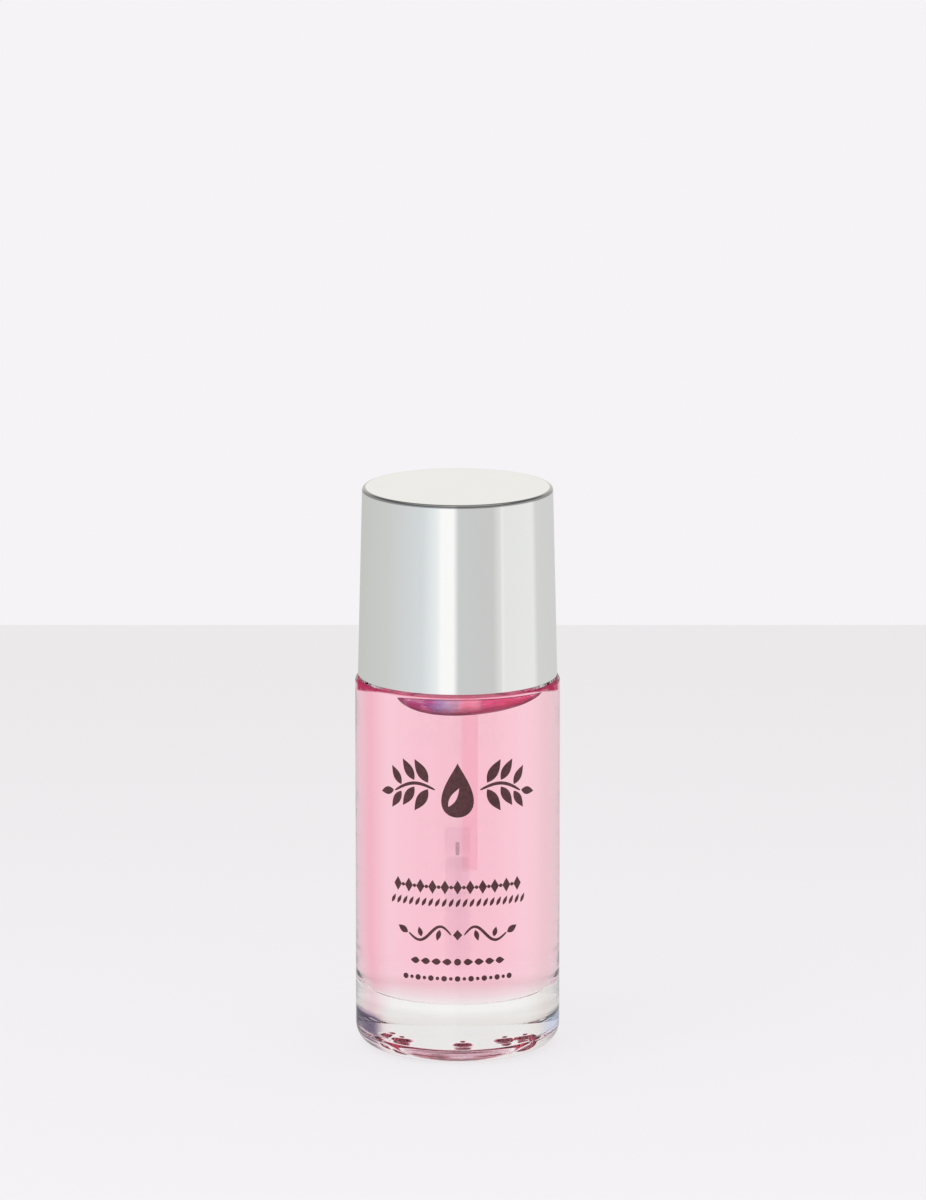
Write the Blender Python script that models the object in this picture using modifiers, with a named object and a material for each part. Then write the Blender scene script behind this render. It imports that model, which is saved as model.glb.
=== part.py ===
"""Cuticle oil bottle: a filled glass vial with a thick floor, and its tall screw closure with a brush.

Metres, +Z up. The origin is the centre of the surface that the bottle stands on, and the axis of the
bottle is the Z axis. Heights in the outlines are world heights; each finished piece then gets its origin
on the axis, at its own seat.
"""

import math

import bmesh
import bpy
from mathutils import Matrix, Vector

# Glass bottle
BODY_RADIUS = 0.0122
BODY_HEIGHT = 0.0448
SIDE_WALL = 0.0024
FLOOR_THICKNESS = 0.0066
SHOULDER_THICKNESS = 0.0008
HEEL_ROUNDING = 0.0024
BEARING_WIDTH = 0.0006
BEARING_ROUNDING = 0.0002
PUSH_UP_HEIGHT = 0.0014
PUSH_UP_SLOPE = 0.0014
PUSH_UP_ROUNDING = 0.0004
SHOULDER_ROUNDING = 0.0004
CAVITY_FLOOR_ROUNDING = 0.0030
CAVITY_SHOULDER_ROUNDING = 0.0011
NECK_HEIGHT = 0.0107
NECK_WALL = 0.0022
NECK_FOOT_ROUNDING = 0.0006
BORE_MOUTH_ROUNDING = 0.0004
LIP_ROUNDING = 0.0005

# Thread of the neck and the thread that faces it inside the screw cap
THREAD_PITCH = 0.0030
NECK_THREAD_HEIGHT = 0.0008
NECK_THREAD_BEAD = 0.00072
NECK_THREAD_TURNS = 1.5
NECK_THREAD_DROP = 0.0028
CAP_THREAD_HEIGHT = 0.00065
CAP_THREAD_BEAD = 0.00065
CAP_THREAD_TURNS = 1.25
THREAD_FADE_TURNS = 0.125
THREAD_END_SHARE = 0.4
THREAD_SINK = 0.00006
CREST_CLEARANCE = 0.00015

# Oil
OIL_GAP = 0.0003
AIR_POCKET_OVERHANG = 0.0016
AIR_POCKET_DEPTH = 0.0026

# Clearances between the pieces of the closure
SEAT_GAP = 0.0003
SLIDE_CLEARANCE = 0.0003
PRESS_CLEARANCE = 0.00015
SOCKET_CLEARANCE = 0.0001

# Sealing liner
LINER_THICKNESS = 0.0007
LINER_ROUNDING = 0.00015

# Brush stem
STEM_END_ROUNDING = 0.00015
STEM_FILLET = 0.0004
COLLAR_THICKNESS = 0.0010
COLLAR_ROUNDING = 0.0002
PLUG_WAIST_RADIUS = 0.0018
PLUG_WAIST_HEIGHT = 0.0015
PLUG_HEAD_OVERHANG = 0.0004
PLUG_HEAD_HEIGHT = 0.0010
PLUG_HEAD_ROUNDING = 0.0003
SOCKET_RADIUS = 0.0011
SOCKET_WALL = 0.0005

# Staple across the socket
STAPLE_BITE = 0.0002
STAPLE_THICKNESS = 0.0003
STAPLE_HEIGHT = 0.0012

# Hairs
TIP_CLEARANCE = 0.0027
HAIR_REACH = 0.0127
HAIR_RADIUS = 0.000038
HAIR_SPACING = 0.0000965
HAIR_EDGE_MARGIN = 0.00003
HAIR_TIP_SHARE = 0.75
TUFT_TIP_RADIUS = 0.0012
TUFT_DOME = 0.0012
ROOT_SET_BACK = 0.0014
ROOT_FOOT = 0.0005
ROOT_CROWN = 0.0018
ROOT_OVERLAP = 0.0002
ROOT_TOP_GAP = 0.0003

# Screw cap
SCREW_CAP_WALL = 0.0010
SCREW_CAP_ROOF = 0.0012
SCREW_CAP_FOOT_GAP = 0.0003
SCREW_CAP_FOOT_ROUNDING = 0.00025
FLANGE_HEIGHT = 0.0012
FLANGE_ROUNDING = 0.0002
BOSS_WALL = 0.0012
BOSS_ROOF = 0.0010
BOSS_ROUNDING = 0.0004
RIB_COUNT = 12
RIB_WIDTH = 0.0009
RIB_DEPTH = 0.00117

# Overcap
SHOULDER_GAP = 0.00033
OVERCAP_INSET = 0.00034
OVERCAP_DRAFT = 0.00054
OVERCAP_WALL = 0.0012
OVERCAP_ROOF = 0.00125
OVERCAP_HEADROOM = 0.0049
OVERCAP_EDGE_ROUNDING = 0.0004
OVERCAP_FOOT_ROUNDING = 0.0002
OVERCAP_CEILING_ROUNDING = 0.0008

# Fineness of the round shapes
BODY_SIDES = 40
STEM_SIDES = 20
THREAD_STEPS_A_TURN = 20
ARC_STEP = 0.0008
POCKET_STEPS = 6
BEAD_RESOLUTION = 1
SHARP_ANGLE = math.radians(35)
MERGE_DISTANCE = 0.000001
CUT_OVERRUN = 0.0005
ROUNDING_ROOM_SHARE = 0.96
HALF_SHARE = 0.5

# Heights that follow from the sizes above
CAVITY_CEILING = BODY_HEIGHT - SHOULDER_THICKNESS
LIP_HEIGHT = BODY_HEIGHT + NECK_HEIGHT
NECK_THREAD_BOTTOM = LIP_HEIGHT - NECK_THREAD_DROP - THREAD_PITCH * NECK_THREAD_TURNS

LINER_SEAT = LIP_HEIGHT + SEAT_GAP
COLLAR_SEAT = LINER_SEAT + LINER_THICKNESS + SEAT_GAP
COLLAR_TOP = COLLAR_SEAT + COLLAR_THICKNESS
PLUG_HEAD_BOTTOM = COLLAR_TOP + PLUG_WAIST_HEIGHT
PLUG_TOP = PLUG_HEAD_BOTTOM + PLUG_HEAD_HEIGHT

OVERCAP_FOOT = BODY_HEIGHT + SHOULDER_GAP
SCREW_CAP_FOOT = OVERCAP_FOOT + SCREW_CAP_FOOT_GAP
SCREW_CAP_CEILING = COLLAR_TOP + SEAT_GAP
SCREW_CAP_TOP = SCREW_CAP_CEILING + SCREW_CAP_ROOF
FLANGE_TOP = SCREW_CAP_FOOT + FLANGE_HEIGHT
PLUG_MOUTH_TOP = PLUG_HEAD_BOTTOM - SEAT_GAP
PLUG_POCKET_TOP = PLUG_TOP + SEAT_GAP
BOSS_TOP = PLUG_POCKET_TOP + BOSS_ROOF
OVERCAP_CEILING = BOSS_TOP + OVERCAP_HEADROOM
OVERCAP_TOP = OVERCAP_CEILING + OVERCAP_ROOF

TIP_HEIGHT = FLOOR_THICKNESS + TIP_CLEARANCE
STEM_END = TIP_HEIGHT + HAIR_REACH
ROOT_BOTTOM = STEM_END + ROOT_SET_BACK
WINDOW_BOTTOM = ROOT_BOTTOM + ROOT_FOOT
WINDOW_HEIGHT = STAPLE_HEIGHT + 2 * SOCKET_CLEARANCE
STAPLE_CENTRE = WINDOW_BOTTOM + WINDOW_HEIGHT / 2
ROOT_TOP = WINDOW_BOTTOM + WINDOW_HEIGHT + ROOT_CROWN
SOCKET_TOP = ROOT_TOP + ROOT_TOP_GAP


def fitted_radius(height):
    """Radius that presses against the bore of the tapered overcap at a height."""
    lean = OVERCAP_DRAFT / (OVERCAP_TOP - OVERCAP_FOOT)
    return OVERCAP_FOOT_RADIUS - lean * (height - OVERCAP_FOOT) - OVERCAP_WALL - PRESS_CLEARANCE


# Radii: the closure is fitted inwards from the side of the body, and the bore is what the walls leave
CAVITY_RADIUS = BODY_RADIUS - SIDE_WALL
OVERCAP_FOOT_RADIUS = BODY_RADIUS - OVERCAP_INSET
OVERCAP_TOP_RADIUS = OVERCAP_FOOT_RADIUS - OVERCAP_DRAFT
RIB_RADIUS = fitted_radius(SCREW_CAP_TOP)
SCREW_CAP_RADIUS = RIB_RADIUS - RIB_DEPTH
CAP_ROOT_RADIUS = SCREW_CAP_RADIUS - SCREW_CAP_WALL
CAP_CREST_RADIUS = CAP_ROOT_RADIUS - CAP_THREAD_HEIGHT
NECK_RADIUS = CAP_CREST_RADIUS - CREST_CLEARANCE - NECK_THREAD_HEIGHT
BORE_RADIUS = NECK_RADIUS - NECK_WALL
COLLAR_RADIUS = CAP_CREST_RADIUS - SLIDE_CLEARANCE
AIR_POCKET_RADIUS = BORE_RADIUS + AIR_POCKET_OVERHANG
PLUG_HEAD_RADIUS = PLUG_WAIST_RADIUS + PLUG_HEAD_OVERHANG
PLUG_POCKET_RADIUS = PLUG_HEAD_RADIUS + PRESS_CLEARANCE
BOSS_RADIUS = PLUG_POCKET_RADIUS + BOSS_WALL
STEM_RADIUS = SOCKET_RADIUS + SOCKET_WALL
ROOT_RADIUS = SOCKET_RADIUS - SOCKET_CLEARANCE
BRUSH_RADIUS = max(STEM_RADIUS, TUFT_TIP_RADIUS)
STAPLE_LENGTH = 2 * (SOCKET_RADIUS + STAPLE_BITE)
WINDOW_WIDTH = STAPLE_THICKNESS + 2 * SOCKET_CLEARANCE

PARTS_NAME = "cuticle_oil_bottle"
TOOLS_NAME = "cutters"


def clear_scene():
    for item in list(bpy.data.objects):
        bpy.data.objects.remove(item, do_unlink=True)


def new_collection(name):
    collection = bpy.data.collections.new(name)
    bpy.context.scene.collection.children.link(collection)
    return collection


def add_object(name, data, collection):
    item = bpy.data.objects.new(name, data)
    collection.objects.link(item)
    return item


def add_tool(name, data):
    """An object that only cuts or joins: it shows as wires and isn't part of the model."""
    item = add_object(name, data, bpy.data.collections[TOOLS_NAME])
    item.hide_render = True
    item.display_type = "WIRE"
    return item


def add_part(name, data):
    return add_object(name, data, bpy.data.collections[PARTS_NAME])


def material(name, color, roughness, metallic=0.0, transmission=0.0, ior=1.45):
    finish = bpy.data.materials.new(name)
    finish.use_nodes = True
    shader = finish.node_tree.nodes["Principled BSDF"]
    shader.inputs["Base Color"].default_value = (*color, 1)
    shader.inputs["Roughness"].default_value = roughness
    shader.inputs["Metallic"].default_value = metallic
    shader.inputs["Transmission Weight"].default_value = transmission
    shader.inputs["IOR"].default_value = ior
    finish.diffuse_color = (*color, 1)
    return finish


def rounded(corners):
    """Points of an outline of (radius, height, rounding) corners, with each rounding drawn as an arc."""
    points = []
    last = len(corners) - 1
    for index, (radius, height, rounding) in enumerate(corners):
        corner = Vector((radius, height))
        if not rounding or index in (0, last):
            points.append(corner)
            continue
        sides = []
        room = []
        for neighbour in (corners[index - 1], corners[index + 1]):
            side = Vector(neighbour[:2]) - corner
            sides.append(side.normalized())
            share = HALF_SHARE if neighbour[2] else 1
            room.append(side.length * share * ROUNDING_ROOM_SHARE)
        half = sides[0].angle(sides[1]) / 2
        setback = min(rounding / math.tan(half), *room)
        arc_radius = setback * math.tan(half)
        centre = corner + (sides[0] + sides[1]).normalized() * arc_radius / math.sin(half)
        start = corner + sides[0] * setback - centre
        end = corner + sides[1] * setback - centre
        sweep = start.angle_signed(end)
        steps = math.ceil(abs(sweep) * arc_radius / ARC_STEP)
        for step in range(steps + 1):
            turn = Matrix.Rotation(-sweep * step / steps, 2)
            points.append(centre + turn @ start)
    return points


def turned(name, outline, sides, closed=False):
    """A piece turned about the Z axis. The outline runs down its outer side, from top to bottom."""
    last = len(outline) - 1
    edges = [(index, index + 1) for index in range(last)]
    if closed:
        edges.append((last, 0))
    mesh = bpy.data.meshes.new(name)
    mesh.from_pydata([(radius, 0, height) for radius, height in outline], edges, [])
    item = add_part(name, mesh)
    screw = item.modifiers.new("Turn", "SCREW")
    screw.axis = "Z"
    screw.steps = sides
    screw.render_steps = sides
    screw.use_merge_vertices = True
    screw.merge_threshold = MERGE_DISTANCE
    return item


def thread_bead(name, surface, outward, height, bead, turns, start_height):
    """A rounded helical thread on a round wall, which runs out into the wall at both ends."""
    curve = bpy.data.curves.new(name, "CURVE")
    curve.dimensions = "3D"
    curve.twist_mode = "Z_UP"
    curve.bevel_depth = bead
    curve.bevel_resolution = BEAD_RESOLUTION
    curve.use_fill_caps = True
    steps = round(turns * THREAD_STEPS_A_TURN)
    spline = curve.splines.new("POLY")
    spline.points.add(steps)
    for index, point in enumerate(spline.points):
        along = turns * index / steps
        fade = min(1, along / THREAD_FADE_TURNS, (turns - along) / THREAD_FADE_TURNS)
        size = THREAD_END_SHARE + (1 - THREAD_END_SHARE) * fade
        crest = height * fade - THREAD_SINK * (1 - fade)
        radius = surface + outward * (crest - bead * size)
        angle = math.tau * along
        x = radius * math.cos(angle)
        y = radius * math.sin(angle)
        point.co = (x, y, start_height + THREAD_PITCH * along, 1)
        point.radius = size
    path = add_object(name + "_path", curve, bpy.data.collections[TOOLS_NAME])
    graph = bpy.context.evaluated_depsgraph_get()
    mesh = bpy.data.meshes.new_from_object(path.evaluated_get(graph))
    bpy.data.objects.remove(path, do_unlink=True)
    body = bmesh.new()
    body.from_mesh(mesh)
    bmesh.ops.remove_doubles(body, verts=body.verts, dist=MERGE_DISTANCE)
    bmesh.ops.recalc_face_normals(body, faces=body.faces)
    return add_tool(name, new_mesh(name, body))


def new_mesh(name, body):
    """A mesh from the working body, which is then done with."""
    mesh = bpy.data.meshes.new(name)
    body.to_mesh(mesh)
    body.free()
    return mesh


def add_box(body, size, centre, turn=0.0):
    """A box of the given size, turned about the Z axis together with its centre."""
    place = Matrix.Rotation(turn, 4, "Z") @ Matrix.Translation(centre) @ Matrix.Diagonal((*size, 1))
    bmesh.ops.create_cube(body, size=1, matrix=place)


def box_mesh(name, size, centre):
    body = bmesh.new()
    add_box(body, size, centre)
    return new_mesh(name, body)


def boolean(item, tool, operation):
    cut = item.modifiers.new(operation.title(), "BOOLEAN")
    cut.operation = operation
    cut.object = tool


def finished(item, seat, finish, parent=None):
    """Applies the modifiers, shades the round faces smooth and puts the origin on the axis at the seat."""
    graph = bpy.context.evaluated_depsgraph_get()
    mesh = bpy.data.meshes.new_from_object(item.evaluated_get(graph))
    item.modifiers.clear()
    item.data = mesh
    mesh.name = item.name
    mesh.transform(Matrix.Translation((0, 0, -seat)))
    mesh.shade_smooth()
    mesh.set_sharp_from_angle(angle=SHARP_ANGLE)
    mesh.materials.clear()
    mesh.materials.append(finish)
    item.parent = parent
    item.location.z = seat - (parent.matrix_world.translation.z if parent else 0)
    bpy.context.view_layer.update()
    return item


def glass_bottle():
    """The vial: straight side, thick floor with a push-up, flat shoulder and threaded neck."""
    bearing_inside = BODY_RADIUS - HEEL_ROUNDING - BEARING_WIDTH
    outline = rounded([
        (BORE_RADIUS, LIP_HEIGHT, 0),
        (NECK_RADIUS, LIP_HEIGHT, LIP_ROUNDING),
        (NECK_RADIUS, BODY_HEIGHT, NECK_FOOT_ROUNDING),
        (BODY_RADIUS, BODY_HEIGHT, SHOULDER_ROUNDING),
        (BODY_RADIUS, 0, HEEL_ROUNDING),
        (bearing_inside, 0, BEARING_ROUNDING),
        (bearing_inside - PUSH_UP_SLOPE, PUSH_UP_HEIGHT, PUSH_UP_ROUNDING),
        (0, PUSH_UP_HEIGHT, 0),
    ])
    cavity = rounded([
        (0, FLOOR_THICKNESS, 0),
        (CAVITY_RADIUS, FLOOR_THICKNESS, CAVITY_FLOOR_ROUNDING),
        (CAVITY_RADIUS, CAVITY_CEILING, CAVITY_SHOULDER_ROUNDING),
        (BORE_RADIUS, CAVITY_CEILING, BORE_MOUTH_ROUNDING),
        (BORE_RADIUS, LIP_HEIGHT, 0),
    ])
    item = turned("glass_bottle", cavity + outline[1:], BODY_SIDES)
    bead = thread_bead("neck_thread", NECK_RADIUS, 1, NECK_THREAD_HEIGHT, NECK_THREAD_BEAD,
                       NECK_THREAD_TURNS, NECK_THREAD_BOTTOM)
    boolean(item, bead, "UNION")
    glass = material("clear_glass", (0.93, 0.93, 0.94), 0.02, transmission=1.0, ior=1.5)
    return finished(item, 0, glass)


def cuticle_oil():
    """The oil, from the floor to the shoulder, open round the brush and under the pocket of air."""
    top = CAVITY_CEILING - OIL_GAP
    side = CAVITY_RADIUS - OIL_GAP
    bottom = FLOOR_THICKNESS + OIL_GAP
    hole = BRUSH_RADIUS + OIL_GAP
    hole_bottom = TIP_HEIGHT - OIL_GAP
    start = math.asin(hole / AIR_POCKET_RADIUS)
    pocket = []
    for step in range(POCKET_STEPS + 1):
        angle = start + (math.pi / 2 - start) * step / POCKET_STEPS
        depth = AIR_POCKET_DEPTH * math.cos(angle)
        pocket.append(Vector((AIR_POCKET_RADIUS * math.sin(angle), top - depth)))
    rim = rounded([
        (AIR_POCKET_RADIUS, top, 0),
        (side, top, CAVITY_SHOULDER_ROUNDING),
        (side, bottom, CAVITY_FLOOR_ROUNDING),
        (0, bottom, 0),
    ])
    hole_points = [Vector((0, hole_bottom)), Vector((hole, hole_bottom))]
    item = turned("cuticle_oil", hole_points + pocket + rim[1:], BODY_SIDES)
    oil = material("pink_oil", (0.95, 0.50, 0.60), 0.02, transmission=1.0, ior=1.47)
    return finished(item, bottom, oil)


def sealing_liner(parent):
    """The soft ring that the collar of the brush presses on the glass lip."""
    bore = BRUSH_RADIUS + SLIDE_CLEARANCE
    top = LINER_SEAT + LINER_THICKNESS
    outline = rounded([
        (bore, top, 0),
        (COLLAR_RADIUS, top, LINER_ROUNDING),
        (COLLAR_RADIUS, LINER_SEAT, LINER_ROUNDING),
        (bore, LINER_SEAT, 0),
    ])
    item = turned("sealing_liner", outline, BODY_SIDES, closed=True)
    foam = material("white_foam", (0.86, 0.86, 0.84), 0.75)
    return finished(item, LINER_SEAT, foam, parent)


def brush_stem(parent):
    """The rod of the brush: a plug that snaps into the screw cap, a collar, and a socket for the hairs."""
    outline = rounded([
        (0, PLUG_TOP, 0),
        (PLUG_HEAD_RADIUS, PLUG_TOP, PLUG_HEAD_ROUNDING),
        (PLUG_HEAD_RADIUS, PLUG_HEAD_BOTTOM, PLUG_HEAD_ROUNDING),
        (PLUG_WAIST_RADIUS, PLUG_HEAD_BOTTOM, 0),
        (PLUG_WAIST_RADIUS, COLLAR_TOP, 0),
        (COLLAR_RADIUS, COLLAR_TOP, COLLAR_ROUNDING),
        (COLLAR_RADIUS, COLLAR_SEAT, COLLAR_ROUNDING),
        (STEM_RADIUS, COLLAR_SEAT, STEM_FILLET),
        (STEM_RADIUS, STEM_END, STEM_END_ROUNDING),
        (SOCKET_RADIUS, STEM_END, 0),
        (SOCKET_RADIUS, SOCKET_TOP, 0),
        (0, SOCKET_TOP, 0),
    ])
    item = turned("brush_stem", outline, STEM_SIDES)
    slot = (WINDOW_WIDTH, STAPLE_LENGTH + 2 * SOCKET_CLEARANCE, WINDOW_HEIGHT)
    cutter = add_tool("staple_slot", box_mesh("staple_slot", slot, (0, 0, STAPLE_CENTRE)))
    boolean(item, cutter, "DIFFERENCE")
    polythene = material("translucent_polythene", (0.90, 0.89, 0.90), 0.35)
    return finished(item, COLLAR_SEAT, polythene, parent)


def bristle_staple(parent):
    """The flat piece of wire, seen end on from the front, that holds the folded hairs in the socket."""
    size = (STAPLE_THICKNESS, STAPLE_LENGTH, STAPLE_HEIGHT)
    item = add_part("bristle_staple", box_mesh("bristle_staple", size, (0, 0, STAPLE_CENTRE)))
    wire = material("staple_wire", (0.45, 0.43, 0.44), 0.30, metallic=1.0)
    return finished(item, STAPLE_CENTRE, wire, parent)


def hair_roots(circle):
    """Places of the hairs on a triangular grid inside a circle round the axis."""
    row_step = HAIR_SPACING * math.sin(math.radians(60))
    rows = math.ceil(circle / row_step)
    columns = math.ceil(circle / HAIR_SPACING)
    for row in range(-rows, rows + 1):
        for column in range(-columns, columns + 1):
            root = Vector(((column + row % 2 * HALF_SHARE) * HAIR_SPACING, row * row_step))
            if root.length <= circle:
                yield root


def hairs_mesh():
    """Three-sided hairs that spread a little towards a domed tip and never cross."""
    circle = ROOT_RADIUS - HAIR_RADIUS - HAIR_EDGE_MARGIN
    spread = (TUFT_TIP_RADIUS - HAIR_RADIUS) / circle
    top = ROOT_BOTTOM + ROOT_OVERLAP
    body = bmesh.new()
    for root in hair_roots(circle):
        tip_height = TIP_HEIGHT + TUFT_DOME * (root.length / circle) ** 2
        hair = bmesh.ops.create_cone(
            body,
            cap_ends=True,
            segments=3,
            radius1=HAIR_RADIUS * HAIR_TIP_SHARE,
            radius2=HAIR_RADIUS,
            depth=top - tip_height,
        )
        for vertex in hair["verts"]:
            at_tip = vertex.co.z < 0
            centre = root * spread if at_tip else root
            vertex.co.x += centre.x
            vertex.co.y += centre.y
            vertex.co.z = tip_height if at_tip else top
    return new_mesh("hairs", body)


def bristle_tuft(parent):
    """The hairs and their folded root, which has a window where the staple passes through it."""
    outline = rounded([
        (0, ROOT_TOP, 0),
        (ROOT_RADIUS, ROOT_TOP, 0),
        (ROOT_RADIUS, ROOT_BOTTOM, 0),
        (0, ROOT_BOTTOM, 0),
    ])
    item = turned("bristle_tuft", outline, STEM_SIDES)
    window = (WINDOW_WIDTH, 2 * (ROOT_RADIUS + CUT_OVERRUN), WINDOW_HEIGHT)
    cutter = add_tool("root_window", box_mesh("root_window", window, (0, 0, STAPLE_CENTRE)))
    boolean(item, cutter, "DIFFERENCE")
    boolean(item, add_tool("hairs", hairs_mesh()), "UNION")
    hair = material("white_hair", (0.88, 0.84, 0.86), 0.40)
    return finished(item, ROOT_BOTTOM, hair, parent)


def rib_mesh():
    """Upright ribs from the wall of the screw cap out to the bore of the overcap."""
    inside = CAP_ROOT_RADIUS + SCREW_CAP_WALL * HALF_SHARE
    bottom = SCREW_CAP_FOOT + FLANGE_HEIGHT * HALF_SHARE
    top = SCREW_CAP_TOP - FLANGE_ROUNDING
    size = (RIB_RADIUS - inside, RIB_WIDTH, top - bottom)
    centre = ((inside + RIB_RADIUS) / 2, 0, (bottom + top) / 2)
    body = bmesh.new()
    for index in range(RIB_COUNT):
        add_box(body, size, centre, math.tau * index / RIB_COUNT)
    return new_mesh("ribs", body)


def screw_cap(parent):
    """The inner cap: a threaded tube with a flange, ribs, a roof and a boss that takes the brush's plug."""
    flange_radius = fitted_radius(FLANGE_TOP)
    mouth_radius = PLUG_WAIST_RADIUS + PRESS_CLEARANCE
    outline = rounded([
        (0, BOSS_TOP, 0),
        (BOSS_RADIUS, BOSS_TOP, BOSS_ROUNDING),
        (BOSS_RADIUS, SCREW_CAP_TOP, 0),
        (SCREW_CAP_RADIUS, SCREW_CAP_TOP, BOSS_ROUNDING),
        (SCREW_CAP_RADIUS, FLANGE_TOP, 0),
        (flange_radius, FLANGE_TOP, FLANGE_ROUNDING),
        (flange_radius, SCREW_CAP_FOOT, FLANGE_ROUNDING),
        (CAP_ROOT_RADIUS, SCREW_CAP_FOOT, SCREW_CAP_FOOT_ROUNDING),
        (CAP_ROOT_RADIUS, SCREW_CAP_CEILING, 0),
        (mouth_radius, SCREW_CAP_CEILING, 0),
        (mouth_radius, PLUG_MOUTH_TOP, 0),
        (PLUG_POCKET_RADIUS, PLUG_MOUTH_TOP, 0),
        (PLUG_POCKET_RADIUS, PLUG_POCKET_TOP, 0),
        (0, PLUG_POCKET_TOP, 0),
    ])
    item = turned("screw_cap", outline, BODY_SIDES)
    boolean(item, add_tool("ribs", rib_mesh()), "UNION")
    bead = thread_bead("cap_thread", CAP_ROOT_RADIUS, -1, CAP_THREAD_HEIGHT, CAP_THREAD_BEAD,
                       CAP_THREAD_TURNS, NECK_THREAD_BOTTOM + THREAD_PITCH * HALF_SHARE)
    boolean(item, bead, "UNION")
    polypropylene = material("white_polypropylene", (0.82, 0.82, 0.81), 0.45)
    return finished(item, SCREW_CAP_FOOT, polypropylene, parent)


def overcap(parent):
    """The plated shell that shows: a slightly tapered cup, open at its foot."""
    outline = rounded([
        (0, OVERCAP_TOP, 0),
        (OVERCAP_TOP_RADIUS, OVERCAP_TOP, OVERCAP_EDGE_ROUNDING),
        (OVERCAP_FOOT_RADIUS, OVERCAP_FOOT, OVERCAP_FOOT_ROUNDING),
        (OVERCAP_FOOT_RADIUS - OVERCAP_WALL, OVERCAP_FOOT, OVERCAP_FOOT_ROUNDING),
        (OVERCAP_TOP_RADIUS - OVERCAP_WALL, OVERCAP_CEILING, OVERCAP_CEILING_ROUNDING),
        (0, OVERCAP_CEILING, 0),
    ])
    item = turned("overcap", outline, BODY_SIDES)
    plating = material("silver_plating", (0.80, 0.80, 0.79), 0.12, metallic=1.0)
    return finished(item, OVERCAP_FOOT, plating, parent)


def axis_empty(name, height, parent=None):
    """A point on the axis that carries the pieces that move together."""
    item = add_part(name, None)
    item.parent = parent
    item.location.z = height - (parent.matrix_world.translation.z if parent else 0)
    bpy.context.view_layer.update()
    return item


def build():
    clear_scene()
    new_collection(PARTS_NAME)
    new_collection(TOOLS_NAME)
    glass_bottle()
    cuticle_oil()
    lift = axis_empty("lift_point", LIP_HEIGHT)
    sealing_liner(lift)
    climb = axis_empty("climb_point", COLLAR_SEAT, lift)
    stem = brush_stem(climb)
    bristle_staple(stem)
    bristle_tuft(stem)
    twist = axis_empty("twist_point", SCREW_CAP_FOOT, climb)
    screw_cap(twist)
    overcap(twist)


build()
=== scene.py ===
# %% [markdown]
# # A bottle of cuticle oil, from clear glass to single hairs
#
# This lesson gives a small cosmetics bottle its looks. The engineer's solids are loaded first and stay where
# they are. Round them come the finer pieces: heavy glass, pink oil with a pocket of air, a printed ornament,
# a plated cap, and the brush that hangs in the oil.
#
# Everything is in metres. The bottle stands on the origin, +Z is up, and the viewer looks along +Y.

# %% Load the frame
import random
from math import ceil, cos, hypot, pi, radians, sin, tan, tau

import bmesh
import bpy
from mathutils import Matrix, Vector


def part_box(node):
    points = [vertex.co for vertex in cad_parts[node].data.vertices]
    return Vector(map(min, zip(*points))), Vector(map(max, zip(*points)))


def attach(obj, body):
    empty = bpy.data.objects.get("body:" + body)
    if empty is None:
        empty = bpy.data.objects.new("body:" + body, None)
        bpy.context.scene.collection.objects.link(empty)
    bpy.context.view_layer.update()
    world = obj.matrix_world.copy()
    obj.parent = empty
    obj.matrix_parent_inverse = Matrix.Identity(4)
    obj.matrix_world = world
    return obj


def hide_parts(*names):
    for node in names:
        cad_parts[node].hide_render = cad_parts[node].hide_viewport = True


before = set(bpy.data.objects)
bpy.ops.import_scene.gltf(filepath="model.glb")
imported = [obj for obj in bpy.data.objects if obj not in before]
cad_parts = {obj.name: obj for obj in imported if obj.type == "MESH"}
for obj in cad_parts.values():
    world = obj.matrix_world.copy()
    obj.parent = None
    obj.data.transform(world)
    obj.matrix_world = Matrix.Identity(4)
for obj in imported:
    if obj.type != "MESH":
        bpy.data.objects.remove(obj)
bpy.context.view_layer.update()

scene = bpy.context.scene

# %% New objects
def new_object(name, data):
    """An object in the scene."""
    item = bpy.data.objects.new(name, data)
    scene.collection.objects.link(item)
    return item


# %% [markdown]
# ## The camera
#
# A product is often photographed from a metre away with a long lens. It keeps the sides parallel and the top
# of the cap flat, which a short lens close by would not. The place and the tilt below were worked out from
# the outlines of the glass and of the cap.

# %% Camera
CAMERA_PLACE = (0.00064, -0.957, 0.263)
CAMERA_DIP = radians(12.32)
CAMERA_LENS = 247.65

lens = bpy.data.cameras.new("camera")
lens.lens = CAMERA_LENS
camera = new_object("camera", lens)
camera.location = CAMERA_PLACE
camera.rotation_euler = (pi / 2 - CAMERA_DIP, 0, 0)
scene.camera = camera
print("The camera stands", round(Vector(CAMERA_PLACE).length, 3), "m from the bottle")

# %% [markdown]
# ## Node sums written as Python
#
# A finish is a small program made of nodes. Drawn by hand it becomes a web that nobody can read, so two small
# classes let Python write it. A Wire is the output of a node, and the plain signs + - * / between wires and
# numbers add the Math nodes. A Net is the set of nodes itself: `node` adds any other node, and its other
# methods are short names for common ones.

# %% Wires and nets
def sign(operation):
    """A method that adds the Math node for one of Python's signs."""
    return lambda wire, *others: wire.math(operation, wire, *others)


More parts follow.
